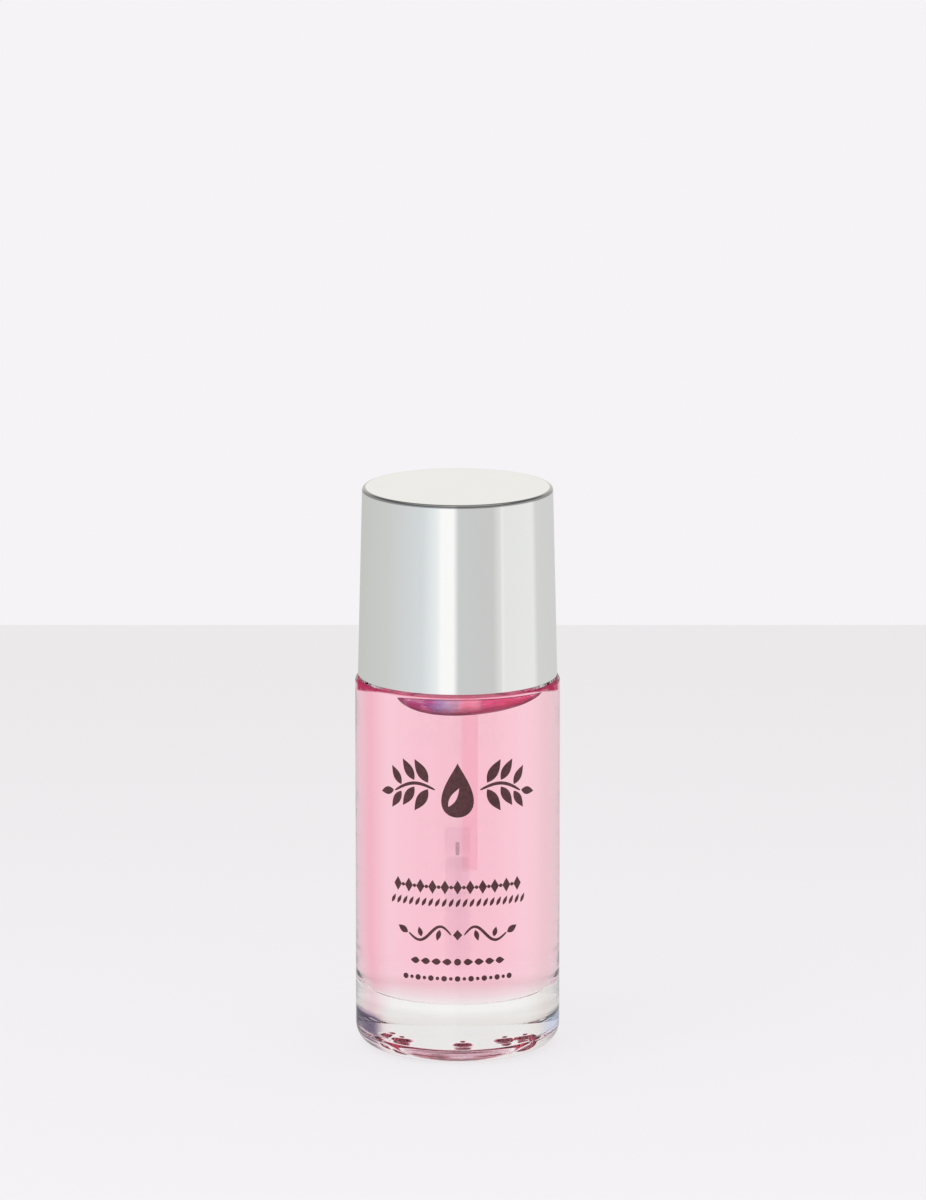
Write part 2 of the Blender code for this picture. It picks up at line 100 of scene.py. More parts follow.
class Wire:
    """The output of a node. Python's signs between wires and numbers add Math nodes."""

    def __init__(self, net, socket):
        self.net = net
        self.socket = socket

    def math(self, operation, *values):
        """A Math node on the given values, in their order."""
        return self.net.node("ShaderNodeMath", dict(enumerate(values)), operation=operation)

    __add__ = __radd__ = sign("ADD")
    __mul__ = __rmul__ = sign("MULTIPLY")
    __sub__ = sign("SUBTRACT")
    __truediv__ = sign("DIVIDE")
    __abs__ = sign("ABSOLUTE")

    def __rsub__(self, other):
        return self.math("SUBTRACT", other, self)

    def __neg__(self):
        return self * -1

    def smooth(self, low, high):
        """0 below the low value, 1 above the high one, and a soft step between them."""
        sockets = {"Value": self, "From Min": low, "From Max": high}
        return self.net.node("ShaderNodeMapRange", sockets, interpolation_type="SMOOTHSTEP")


class Net:
    """The nodes of a finish or of the surroundings."""

    def __init__(self, tree):
        self.tree = tree

    def plug(self, entry, value):
        if isinstance(value, Wire):
            self.tree.links.new(value.socket, entry)
        else:
            entry.default_value = value

    def node(self, kind, sockets=None, output=0, **settings):
        """Adds a node, sets it up, then gives its sockets their values or wires."""
        made = self.tree.nodes.new(kind)
        for name, value in settings.items():
            setattr(made, name, value)
        for key, value in (sockets or {}).items():
            self.plug(made.inputs[key], value)
        return Wire(self, made.outputs[output])

    def axes(self, place):
        """The right, back and up parts of a place."""
        split = self.node("ShaderNodeSeparateXYZ", {0: place})
        return [Wire(self, output) for output in split.socket.node.outputs]

    def ray(self, kind):
        """1 for a kind of ray and 0 for the others."""
        return self.node("ShaderNodeLightPath", output=f"Is {kind} Ray")

    def blend(self, mask, low, high):
        """One colour where the mask is 0 and another where it is 1."""
        return self.node("ShaderNodeMix", {0: mask, 6: low, 7: high}, output=2, data_type="RGBA")

    def over(self, share, below, above):
        """One shader where the share is 0 and another where it is 1."""
        return self.node("ShaderNodeMixShader", {0: share, 1: below, 2: above})

    def ramp(self, run, stops):
        """A colour for each value from 0 to 1, from (position, colour) stops."""
        wire = self.node("ShaderNodeValToRGB", {0: run})
        elements = wire.socket.node.color_ramp.elements
        while len(elements) < len(stops):
            elements.new(1)
        for element, (position, colour) in zip(elements, stops):
            element.position = position
            element.color = colour
        return wire


def linear(*levels):
    """The linear colour of levels from 0 to 255, as a paint program shows them."""
    shares = [level / 255 for level in levels]
    return (*[share / 12.92 if share < 0.04 else ((share + 0.055) / 1.055) ** 2.4 for share in shares], 1)


print("Level 200 is", round(linear(200)[0], 3), "in linear light")

# %% [markdown]
# A Finish is a net that belongs to a material. It starts with the plain shader that Blender puts in each new
# material. `set` fills that shader's sockets, and `show` puts another surface in its place. Places are
# measured from a piece's own origin, so its patterns stay on it when it moves.

# %% Finishes
class Finish(Net):
    """A material and its nodes."""

    def __init__(self, name):
        self.material = bpy.data.materials.new(name)
        self.material.use_nodes = True
        super().__init__(self.material.node_tree)
        self.shader = self.tree.nodes["Principled BSDF"]
        self.output = self.tree.nodes["Material Output"]
        self.plain = Wire(self, self.shader.outputs[0])
        self.place = self.node("ShaderNodeTexCoord", output="Object")
        self.right, self.back, self.up = self.axes(self.place)

    def set(self, sockets):
        for key, value in sockets.items():
            self.plug(self.shader.inputs[key], value)

    def show(self, surface):
        self.plug(self.output.inputs["Surface"], surface)

    def reach(self):
        """How far a place lies from the axis."""
        return self.right.math("SQRT", self.right * self.right + self.back * self.back)

    def noise(self, scale, detail=2.0, stretch=None, place=None):
        """Soft random values round 0.5 at a scale in features a metre."""
        place = place or self.place
        if stretch:
            place = self.node("ShaderNodeVectorMath", {0: place, 1: stretch}, operation="MULTIPLY")
        return self.node("ShaderNodeTexNoise", {"Vector": place, "Scale": scale, "Detail": detail})

    def bump(self, height, distance):
        return self.node("ShaderNodeBump", {"Height": height, "Distance": distance, "Strength": 1})


# %% [markdown]
# ## Turned pieces
#
# Nearly all of this bottle is round: glass from a round mould, and plastic from turned tools. Such a piece is
# an outline, swept round the axis. Blender's Screw modifier can do it, but here some walls also carry a
# thread or small marks, which depend on the angle. So the rings are made in mesh code, and a `relief`
# function may move each point before it is placed. It is a height field, so it needs no Boolean and leaves
# no slivers.
#
# In smooth shading, a flat wall beside a small rounding looks bent unless a point close to the rounding holds
# it flat. `rounded` puts such a guard point on both sides of each arc.

# %% Outlines
SIDES = 256
ARC_TURN = radians(9)
GUARD = 0.00004
AXIS_LIMIT = 0.000001
SHARP_ANGLE = radians(32)


def rounded(corners):
    """Points of an outline of (radius, height, rounding) corners, with a guard point beside each arc."""
    points = []
    last = len(corners) - 1
    for index, (radius, height, rounding) in enumerate(corners):
        corner = Vector((radius, height))
        if not rounding or index in (0, last):
            points.append(corner)
            continue
        before = (Vector(corners[index - 1][:2]) - corner).normalized()
        after = (Vector(corners[index + 1][:2]) - corner).normalized()
        half = before.angle(after) / 2
        setback = rounding / tan(half)
        centre = corner + (before + after).normalized() * rounding / sin(half)
        start = corner + before * setback - centre
        sweep = start.angle_signed(corner + after * setback - centre)
        steps = ceil(abs(sweep) / ARC_TURN)
        points.append(corner + before * (setback + GUARD))
        for step in range(steps + 1):
            points.append(centre + Matrix.Rotation(-sweep * step / steps, 2) @ start)
        points.append(corner + after * (setback + GUARD))
    return points


def refined(outline, low, high, step):
    """The outline with points added to its straight runs that lie between two corners of a window."""
    points = [outline[0]]
    for start, end in zip(outline, outline[1:]):
        middle = (start + end) / 2
        inside = low[0] < middle.x < high[0] and low[1] < middle.y < high[1]
        parts = ceil((end - start).length / step) if inside else 1
        points += [start.lerp(end, part / parts) for part in range(1, parts + 1)]
    return points


# %% Turning
def turned(name, outline, relief=None, closed=False, sides=SIDES):
    """A mesh turned about the Z axis. The relief may move each (radius, height) point by its angle."""
    body = bmesh.new()
    rings = []
    for point in outline:
        if point.x < AXIS_LIMIT:
            rings.append([body.verts.new((0, 0, point.y))])
            continue
        ring = []
        for step in range(sides):
            angle = tau * step / sides
            radius, height = relief(point, angle) if relief else point
            ring.append(body.verts.new((radius * cos(angle), radius * sin(angle), height)))
        rings.append(ring)
    pairs = list(zip(rings, rings[1:]))
    if closed:
        pairs.append((rings[-1], rings[0]))
    for upper, lower in pairs:
        for step in range(sides):
            after = (step + 1) % sides
            corners = ((upper, step), (lower, step), (lower, after), (upper, after))
            body.faces.new(dict.fromkeys(ring[place % len(ring)] for ring, place in corners))
    return smooth_mesh(name, body)


def smooth_mesh(name, body):
    """A smoothly shaded mesh from the working body, which is then done with."""
    bmesh.ops.recalc_face_normals(body, faces=body.faces)
    mesh = bpy.data.meshes.new(name)
    body.to_mesh(mesh)
    body.free()
    mesh.shade_smooth()
    mesh.set_sharp_from_angle(angle=SHARP_ANGLE)
    return mesh


def piece(mesh, body, finishes, node=None):
    """Puts a mesh in the scene as a piece of its name, which rides on a body and hides the part it replaces.
    """
    item = new_object(mesh.name, mesh)
    for finish in finishes:
        mesh.materials.append(finish.material)
    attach(item, body)
    if node:
        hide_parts(node)
    print(item.name, "has", len(mesh.polygons), "faces")


# %% [markdown]
# ## The glass
#
# The bottle is blown in a two-part mould. Its floor is very thick, which makes a small bottle feel heavy, and
# its wall is 2.4 mm. The outline runs up the inside from the middle of the cavity's floor, over the lip, and
# down the outside. The neck's thread is a rounded bead on a helix that fades into the wall at both ends.
#
# The underside is pushed up, so that only a narrow ring bears on the table. Seen through the heel, the slope
# of the push-up makes the pink band round the foot, and five dimples of the mould show above it.

# %% Sizes of the glass
PRINT_THICKNESS = 0.00002
BODY_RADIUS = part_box("glass_bottle")[1].x - PRINT_THICKNESS
LIP_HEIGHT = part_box("glass_bottle")[1].z
NECK_HEIGHT = 0.0107
SHOULDER = LIP_HEIGHT - NECK_HEIGHT
FLOOR = 0.0066
CEILING = SHOULDER - 0.0008
CAVITY_RADIUS = BODY_RADIUS - 0.0024
NECK_RADIUS = 0.0064
BORE_RADIUS = 0.0042
HEEL_ROUNDING = 0.0024
BEARING_INSIDE = BODY_RADIUS - HEEL_ROUNDING - 0.0006
PUSH_UP_HEIGHT = 0.00148
PUSH_UP_RADIUS = BEARING_INSIDE - 0.0014

THREAD_PITCH = 0.0030
THREAD_START = LIP_HEIGHT - 0.0073
THREAD_FADE_TURNS = 0.16
print("The shoulder lies", round(SHOULDER * 1000, 2), "mm above the table")

# %% Relief of the glass: the thread and the marks under the base
MARK_PLACES = [(-0.00555, -0.0011), (-0.0051, -0.0031), (0.0005, -0.0052),
               (0.0042, -0.0028), (0.00605, -0.0021)]
MARK_HALF_WIDTH = 0.0013
MARK_HALF_DEPTH = 0.0016
MARK_RISE = 0.00035
MARK_RING_SHARE = 0.5


def thread(angle, height, start, turns, crest, width):
    """How far a helical bead stands out of its wall at an angle and a height."""
    most = 0
    for turn in range(ceil(turns)):
        along = angle / tau + turn
        fade = max(0, min(1, along / THREAD_FADE_TURNS, (turns - along) / THREAD_FADE_TURNS))
        offset = abs(height - start - THREAD_PITCH * along) / (width / 2)
        if offset < 1:
            swell = (0.5 + 0.5 * cos(pi * offset)) ** 0.7
            most = max(most, crest * swell * sin(fade * pi / 2))
    return most


def base_mark(radius, angle):
    """Depth of the ring-shaped dimples that the mould presses into the underside."""
    x, y = radius * cos(angle), radius * sin(angle)
    nearest = min(hypot((x - right) / MARK_HALF_WIDTH, (y - back) / MARK_HALF_DEPTH)
                  for right, back in MARK_PLACES)
    offset = (nearest - MARK_RING_SHARE) / (1 - MARK_RING_SHARE)
    return MARK_RISE * max(0, 1 - offset ** 2)


def glass_relief(point, angle):
    radius, height = point
    if height > SHOULDER and radius > BORE_RADIUS + GUARD:
        radius += thread(angle, height, THREAD_START, turns=1.5, crest=0.0008, width=0.0016)
    if height < PUSH_UP_HEIGHT + GUARD:
        height += base_mark(radius, angle)
    return radius, height


# %% Mesh of the glass
glass_outline = rounded([
    (0, FLOOR, 0),
    (CAVITY_RADIUS, FLOOR, 0.0030),
    (CAVITY_RADIUS, CEILING, 0.0011),
    (BORE_RADIUS, CEILING, 0.0004),
    (BORE_RADIUS, LIP_HEIGHT, 0.0003),
    (NECK_RADIUS, LIP_HEIGHT, 0.0005),
    (NECK_RADIUS, SHOULDER, 0.0006),
    (BODY_RADIUS, SHOULDER, 0.0004),
    (BODY_RADIUS, 0, HEEL_ROUNDING),
    (BEARING_INSIDE, 0, 0.0002),
    (PUSH_UP_RADIUS, PUSH_UP_HEIGHT, 0.0004),
    (0, PUSH_UP_HEIGHT, 0),
])
for low, high, step in (
    ((0.0062, SHOULDER), (0.0066, LIP_HEIGHT), 0.00012),
    ((0, PUSH_UP_HEIGHT - GUARD), (0.0075, PUSH_UP_HEIGHT + GUARD), 0.00010),
    ((BORE_RADIUS, CEILING - GUARD), (CAVITY_RADIUS, CEILING + GUARD), 0.0004),
):
    glass_outline = refined(glass_outline, low, high, step)
glass_mesh = turned("bottle_glass", glass_outline, glass_relief)

# %% [markdown]
# Glass is a Principled shader with full transmission. Three things keep it from looking like a drawing: the
# mould leaves the wall a little wavy, the outside has the faintest haze from handling, and the thick floor is
# a shade greyer than the thin wall.
#
# Where oil touches glass, light hardly bends, because the two have nearly the same refractive index. Blender
# bends light at each surface as if air were on the other side. So the wetted wall has a glass of its own,
# whose index is that of glass over that of oil, and the side of the oil that touches it bends nothing.

# %% Finish of the glass
GLASS_INDEX = 1.5
OIL_INDEX = 1.47
WHITE = (1, 1, 1, 1)
FLOOR_TINT = (0.82, 0.80, 0.785, 1)
FLOOR_TINT_FADE = (FLOOR - 0.0008, FLOOR + 0.0004)
WAVE_SCALE = 110
HAZE_SCALE = 900
HAZE_ROUGHNESS = 0.02
OUTSIDE_WAVE = 0.00006
INSIDE_WAVE = 0.00010


def glass_finish(name, index, wave):
    """Clear glass of a refractive index, with waves of a height."""
    finish = Finish(name)
    slow = finish.noise(WAVE_SCALE, stretch=(1, 1, 0.35))
    haze = finish.noise(HAZE_SCALE, detail=4.0)
    finish.waves = finish.bump(slow, wave)
    finish.set({
        "Base Color": finish.blend(finish.up.smooth(*FLOOR_TINT_FADE), FLOOR_TINT, WHITE),
        "Transmission Weight": 1,
        "IOR": index,
        "Roughness": haze.smooth(0.55, 0.80) * HAZE_ROUGHNESS,
        "Normal": finish.waves,
    })
    return finish


clear_glass = glass_finish("clear_glass", GLASS_INDEX, OUTSIDE_WAVE)
wetted_glass = glass_finish("wetted_glass", GLASS_INDEX / OIL_INDEX, INSIDE_WAVE)
print("Light bends by an index of", round(GLASS_INDEX / OIL_INDEX, 3), "where oil wets the glass")

# %% [markdown]
# Some places of the glass need more than that. The slope of the push-up carries fine lines from the lathe
# that turned the mould, and they break up what it mirrors; the light that they let through is painted pink.
# Under the shoulder, at the left and at the right, a wedge of the oil's deep colour is painted on the glass,
# a painted reflection of what the shoulder's corner gathers. Low on the thick floor, a painted highlight of
# pale blue lies at the right, and a painted violet shade at the left. Each is one more shader, mixed over the
# glass by a mask that is worked out from the place, which is easier to move than a painted picture.

# %% Lines on the push-up
LINE_SCALE = 20000
LINE_WEAR_SCALE = 300
LINE_RISE = 0.00006
LINE_FADE = 0.0001
LINE_SHARE = 0.85
LINE_PAINTED_PINK = (1.0, 0.78, 0.87, 1)


def turned_lines(finish):
    """Fine lines round the push-up's slope, where light passes straight instead of being mirrored and is
    painted pink.
    """
    reach = finish.reach()
    slope = (BEARING_INSIDE - reach).smooth(0, LINE_FADE) * (reach - PUSH_UP_RADIUS).smooth(0, LINE_FADE)
    slope = slope * (PUSH_UP_HEIGHT - finish.up).smooth(-GUARD, GUARD)
    lines = finish.noise(LINE_SCALE, place=finish.node("ShaderNodeCombineXYZ", {0: reach}))
    worn = finish.noise(LINE_WEAR_SCALE)
    share = slope * (lines + worn * 0.3).smooth(0.52, 0.66) * LINE_SHARE
    ridges = finish.bump(lines * slope, LINE_RISE)
    finish.plug(ridges.socket.node.inputs["Normal"], finish.waves)
    finish.set({"Normal": ridges})
    # The light that passes through the lines is painted pink.
    passing = finish.node("ShaderNodeBsdfRefraction", {"Color": LINE_PAINTED_PINK, "Roughness": 0, "IOR": 1})
    return finish.over(share, finish.plain, passing)


# %% Painted reflection under the shoulder
PAINTED_WEDGE_HEIGHT = 0.0430
PAINTED_WEDGE_RISE = 0.185
PAINTED_WEDGE_HALF_WIDTH = 0.0121
PAINTED_WEDGE_CLOUD_SCALE = 700
PAINTED_WEDGE_COLOUR = (0.46, 0.038, 0.11, 1)


def painted_wedge(finish, surface):
    """A painted reflection: a wedge of the oil's deep colour under the shoulder, at the left and at the
    right.
    """
    level = PAINTED_WEDGE_HEIGHT + abs(finish.back) * PAINTED_WEDGE_RISE
    share = (finish.up - level).smooth(0, 0.0003)
    share = share * (PAINTED_WEDGE_HALF_WIDTH - abs(finish.right)).smooth(0, 0.0004)
    share = share * (finish.reach() - BODY_RADIUS).smooth(-0.0006, -0.0003)
    cloud = finish.noise(PAINTED_WEDGE_CLOUD_SCALE)
    painted_deep_colour = finish.node("ShaderNodeBsdfDiffuse", {"Color": PAINTED_WEDGE_COLOUR})
    return finish.over(share * (cloud + 0.45), surface, painted_deep_colour)


# %% Painted highlight and shade low on the floor
PATCH_CLOUD_SCALE = 600
PATCH_CLOUD = 0.0006
PATCH_BOTTOM = 0.0022
PATCH_FADE = 0.0018
PAINTED_HIGHLIGHT_BLUE = (0.66, 0.76, 0.98, 1)
PAINTED_SHADE_VIOLET = (0.15, 0.11, 0.21, 1)


def painted_side_patch(finish, surface, side, start, top, most, colour):
    """A soft painted patch low on the front of the thick floor, at the right (side 1) or at the left (side
    -1).
    """
    level = finish.up + finish.noise(PATCH_CLOUD_SCALE) * PATCH_CLOUD
    share = level.smooth(PATCH_BOTTOM, PATCH_BOTTOM + 0.0010) * (top - level).smooth(0, 0.0008)
    share = share * (finish.right * side).smooth(start, start + PATCH_FADE) * (-finish.back).smooth(0, 0.003)
    patch = finish.node("ShaderNodeBsdfDiffuse", {"Color": colour})
    return finish.over(share * most, surface, patch)


surface = painted_wedge(clear_glass, turned_lines(clear_glass))
# A painted highlight of pale blue at the right, and a painted violet shade at the left.
surface = painted_side_patch(clear_glass, surface, 1, 0.0094, 0.0048, 0.6, PAINTED_HIGHLIGHT_BLUE)
surface = painted_side_patch(clear_glass, surface, -1, 0.0084, 0.0058, 0.5, PAINTED_SHADE_VIOLET)
clear_glass.show(surface)
piece(glass_mesh, "bottle", [clear_glass, wetted_glass], "glass_bottle")

# %% [markdown]
# ## The oil
#
# The oil fills the cavity up to a shallow pocket of air under the neck. Its sides reach a hair's breadth into
# the glass, so that no film of air shows between the two. The brush simply stands in it: its surface is wet
# on all sides, and when the brush is lifted out the oil closes behind it. A real pocket is neither level nor
# quite in the middle, so this one leans, and lies a millimetre to the right.

# %% Mesh of the oil
OVERLAP = 0.00002
POCKET_RADIUS = 0.0059
POCKET_DEPTH = 0.0029
POCKET_SHIFT = 0.0010
POCKET_LEAN = 0.08
POCKET_STEPS = 32
POCKET_FULLNESS = 2.8

oil_top = CEILING + OVERLAP
pocket_bottom = oil_top - 2 * POCKET_DEPTH
pocket = []
for step in range(POCKET_STEPS + 1):
    turn = pi / 2 * step / POCKET_STEPS
    across = sin(turn) ** (2 / POCKET_FULLNESS)
    down = max(0, cos(turn)) ** (2 / POCKET_FULLNESS)
    pocket.append(Vector((POCKET_RADIUS * across, oil_top - POCKET_DEPTH * down)))
oil_rim = rounded([
    (POCKET_RADIUS, oil_top, 0),
    (CAVITY_RADIUS + OVERLAP, oil_top, 0.0011),
    (CAVITY_RADIUS + OVERLAP, FLOOR - OVERLAP, 0.0030),
    (0, FLOOR - OVERLAP, 0),
])
oil_mesh = turned("oil", pocket + oil_rim[1:])

for vertex in oil_mesh.vertices:
    if vertex.co.z > pocket_bottom and vertex.co.xy.length < POCKET_RADIUS + AXIS_LIMIT:
        vertex.co.x += POCKET_SHIFT
        vertex.co.z += POCKET_LEAN * vertex.co.x * (oil_top - vertex.co.z) / POCKET_DEPTH

# %% [markdown]
# Oil tints light by the way that the light travels in it, so its tint is a volume, and its surface stays
# nearly clear. The pocket is the exception. It mirrors the whole studio in magenta, lilac and red, which a
# plain world can't show, so a painted reflection stands in: these colours are a ramp across it, broken up by
# noise, with painted light streaks and a painted dark rim where it turns away, and the pocket's surface is
# painted pink as well. They tint light that passes straight through, since a matt colour inside oil comes out
# at half its brightness.

# %% Finish of the oil
OIL_TINT = (0.93, 0.0, 0.28, 1)
OIL_DENSITY = 31
# The pocket's surface is painted pink, which deepens what shows through it.
POCKET_PAINTED_PINK = (0.95, 0.52, 0.70, 1)
POCKET_CLOUD_SCALE = 420
POCKET_CLOUD = 0.0016
POCKET_PAINTED_GLINT_SCALE = 900
POCKET_PAINTED_GLINT = (1, 0.9, 1, 1)
POCKET_PAINTED_RIM = (0.16, 0.003, 0.07, 1)
POCKET_PAINTED_REFLECTION = [
    (0.00, (0.45, 0.03, 0.22, 1)),
    (0.20, (0.36, 0.05, 0.30, 1)),
    (0.26, (0.36, 0.48, 0.90, 1)),
    (0.40, (0.62, 0.88, 1.00, 1)),
    (0.43, (1.00, 0.88, 0.96, 1)),
    (0.58, (1.00, 0.85, 0.93, 1)),
    (0.62, (0.60, 0.07, 0.24, 1)),
    (0.80, (0.85, 0.10, 0.28, 1)),
    (1.00, (0.50, 0.02, 0.18, 1)),
]


def oil_finish(name, colour, index):
    """Clear oil whose depth gives it its tint."""
    finish = Finish(name)
    finish.set({"Base Color": colour, "Transmission Weight": 1, "IOR": index, "Roughness": 0})
    absorbed = finish.node("ShaderNodeVolumeAbsorption", {"Color": OIL_TINT, "Density": OIL_DENSITY})
    finish.plug(finish.output.inputs["Volume"], absorbed)
    return finish


def paint_pocket_reflection(finish):
    """A painted reflection: the deep colours that the pocket's surface mirrors, with a painted dark rim where
    it turns away.
    """
    cloud = finish.noise(POCKET_CLOUD_SCALE, detail=3.0)
    left_end = POCKET_SHIFT - POCKET_RADIUS + POCKET_CLOUD / 2
    run = (finish.right + cloud * POCKET_CLOUD - left_end) / (2 * POCKET_RADIUS)
    tone = finish.ramp(run, POCKET_PAINTED_REFLECTION)
    facing = finish.node("ShaderNodeLayerWeight", {"Blend": 0.5}, output=1)
    # Painted light streaks, then a painted dark rim where the surface turns away.
    streak = finish.noise(POCKET_PAINTED_GLINT_SCALE, stretch=(0.5, 0.5, 2))
    tone = finish.blend(streak.smooth(0.58, 0.66) * 0.6, tone, POCKET_PAINTED_GLINT)
    tone = finish.blend(facing.smooth(0.55, 0.88), tone, POCKET_PAINTED_RIM)
    tinted = {"Base Color": tone, "Roughness": 0, "IOR": 1, "Transmission Weight": 1}
    painted_reflection = finish.node("ShaderNodeBsdfPrincipled", tinted)
    finish.show(finish.over(cloud.smooth(0.35, 0.60) * 0.25 + 0.70, finish.plain, painted_reflection))


oil_finishes = [
    oil_finish("pink_oil", POCKET_PAINTED_PINK, OIL_INDEX),
    oil_finish("pink_oil_at_wall", WHITE, 1.0),
]
paint_pocket_reflection(oil_finishes[0])
piece(oil_mesh, "bottle", oil_finishes, "cuticle_oil")

# %% Wetted walls
def beside_pocket(centre):
    """Whether a point is further out than the pocket or well below it."""
    radius = hypot(centre.x - POCKET_SHIFT, centre.y)
    return radius > POCKET_RADIUS or centre.z < pocket_bottom


def wets(centre):
    """Whether a point of the cavity's wall is under oil."""
    in_cavity = centre.xy.length < CAVITY_RADIUS + OVERLAP and FLOOR - OVERLAP <= centre.z <= oil_top
    return in_cavity and beside_pocket(centre)


for mesh, test in ((glass_mesh, wets), (oil_mesh, beside_pocket)):
    for face in mesh.polygons:
        face.material_index = int(test(face.center))
    print(mesh.name, "has", sum(face.material_index for face in mesh.polygons), "wetted faces")

# %% [markdown]
# ## The printed ornament
#
# Screen-printed ink stands out from the glass by a fiftieth of a millimetre. It could be painted in the
# glass's own shader, but a print has its own edge and gloss, and it shows from behind through the oil. So it
# is thin geometry: flat curves, filled, cut into narrow strips and bent round the bottle. Blender fills the
# space between two nested curves and leaves the inner one open, which gives the droplet its highlight.

# %% Shapes of the print
LEAF_STEPS = 14
DROP_STEPS = 48
DROP_POWER = 1.35


def leaf(root, direction, length, width):
    """A pointed leaf from its root, in a direction in degrees from the horizontal."""
    along = Vector((cos(radians(direction)), sin(radians(direction))))
    across = Vector((-along.y, along.x))
    points = []
    for step in range(2 * LEAF_STEPS):
        share = step / LEAF_STEPS
        reach = share if share <= 1 else 2 - share
        side = 1 if share <= 1 else -1
        swell = sin(pi * reach ** 0.85)
        points.append(Vector(root) + along * length * reach + across * side * swell * width / 2)
    return points


def drop(centre, width, height):
    """A droplet, round below and pointed above."""
    points = []
    for step in range(DROP_STEPS):
        turn = tau * step / DROP_STEPS
        bulge = sin(turn) * sin(turn / 2) ** DROP_POWER / 0.82
        points.append(Vector(centre) + Vector((bulge * width / 2, cos(turn) * height / 2)))
    return points


def disc(centre, radius, sides=16):
    """A round dot."""
    return [Vector(centre) + Vector((radius, 0)) @ Matrix.Rotation(tau * step / sides, 2)
            for step in range(sides)]


def lozenge(centre, width, height):
    """A lozenge that stands on its point."""
    shape = ((width / 2, 0), (0, height / 2), (-width / 2, 0), (0, -height / 2))
    return [Vector(centre) + Vector(corner) for corner in shape]


def stroke(path, width):
    """A line of ink along a path, thinner towards both ends."""
    last = len(path) - 1
    sides = ([], [])
    for index, point in enumerate(path):
        run = (path[min(index + 1, last)] - path[max(index - 1, 0)]).normalized()
        half = width / 2 * (0.35 + 0.65 * sin(pi * index / last) ** 0.5)
        across = Vector((-run.y, run.x)) * half
        sides[0].append(point + across)
        sides[1].append(point - across)
    return sides[0] + sides[1][::-1]


# %% Layout of the print
EMBLEM_HEIGHT = 0.0337
SPRIG_START = 0.0027
SPRIG_LENGTH = 0.0052
SPRIG_RISE = 0.0009
SPRIG_LEAVES = 3
LEAF_LENGTH = 0.0034
LEAF_WIDTH = 0.00135


def sprig_point(share):
    """A point of the right-hand sprig's stalk, from the droplet outwards."""
    return Vector((SPRIG_START + SPRIG_LENGTH * share, EMBLEM_HEIGHT + SPRIG_RISE * sin(share * pi)
                   - SPRIG_RISE * share * 0.6))


def sprig():
    """The stalk and the leaves to the right of the droplet."""
    shapes = [stroke([sprig_point(step / 20) for step in range(21)], 0.00040)]
    for index in range(SPRIG_LEAVES):
        share = (index + 0.6) / SPRIG_LEAVES
        size = 1 - 0.30 * share
        for side in (1, -1):
            root = sprig_point(share) + Vector((-0.00020, side * 0.00040))
            shapes.append(leaf(root, side * 58, LEAF_LENGTH * size, LEAF_WIDTH * size))
    shapes.append(leaf(sprig_point(1) + Vector((0.0002, 0)), -12, LEAF_LENGTH * 0.58, LEAF_WIDTH * 0.70))
    return shapes


def mirrored(shapes):
    """The shapes, and the same at the left."""
    return shapes + [[Vector((-point.x, point.y)) for point in shape] for shape in shapes]


emblem = [drop((0, EMBLEM_HEIGHT), 0.0044, 0.0066)]
emblem.append(leaf((-0.00110, EMBLEM_HEIGHT - 0.0020), 60, 0.0026, 0.00075))
emblem += mirrored(sprig())

# %% Small rows of the print
ROW_LOZENGES = 0.0219
ROW_CHAIN = 0.0200
ROW_FLOURISH = 0.0161
ROW_LEAVES = 0.0128
ROW_DOTS = 0.01075


def flourish():
    """The right half of a wavy line with two leaves and a bud at its end."""
    path = []
    for step in range(33):
        share = step / 32
        wave = 0.0011 * sin(share * tau) * (1 - share * 0.4)
        path.append(Vector((0.0008 + 0.0052 * share, ROW_FLOURISH + wave)))
    shapes = [stroke(path, 0.00036), leaf(path[-1] + Vector((0.00012, 0)), 30, 0.0015, 0.0008)]
    shapes.append(leaf(path[8] + Vector((0, -0.0004)), -75, 0.0014, 0.0006))
    shapes.append(leaf(path[22] + Vector((0, 0.0004)), 75, 0.0012, 0.0006))
    return shapes


rows = [lozenge((0.0015 * column, ROW_LOZENGES), 0.00105, 0.0017) for column in range(-5, 6)]
rows += [disc((0.0015 * (column + 0.5), ROW_LOZENGES), 0.00022) for column in range(-5, 5)]
rows += [leaf((0.00082 * column - 0.0002, ROW_CHAIN - 0.0005), 62, 0.0012, 0.00042)
         for column in range(-10, 11)]
rows += mirrored(flourish()) + [lozenge((0, ROW_FLOURISH), 0.0011, 0.0013)]
rows += mirrored([leaf((0.0007 + 0.0013 * column, ROW_LEAVES), 0, 0.00115, 0.00078) for column in range(4)])
rows += [disc((0, ROW_LEAVES), 0.00042)]
rows += [disc((0.0008 * column, ROW_DOTS), 0.00034 - 0.00012 * (column % 2)) for column in range(-8, 9)]
print("The print has", len(emblem) + len(rows), "shapes")

# %% Ink on the glass
STRIP_WIDTH = 0.0006
PRINT_HALF_WIDTH = 0.0108


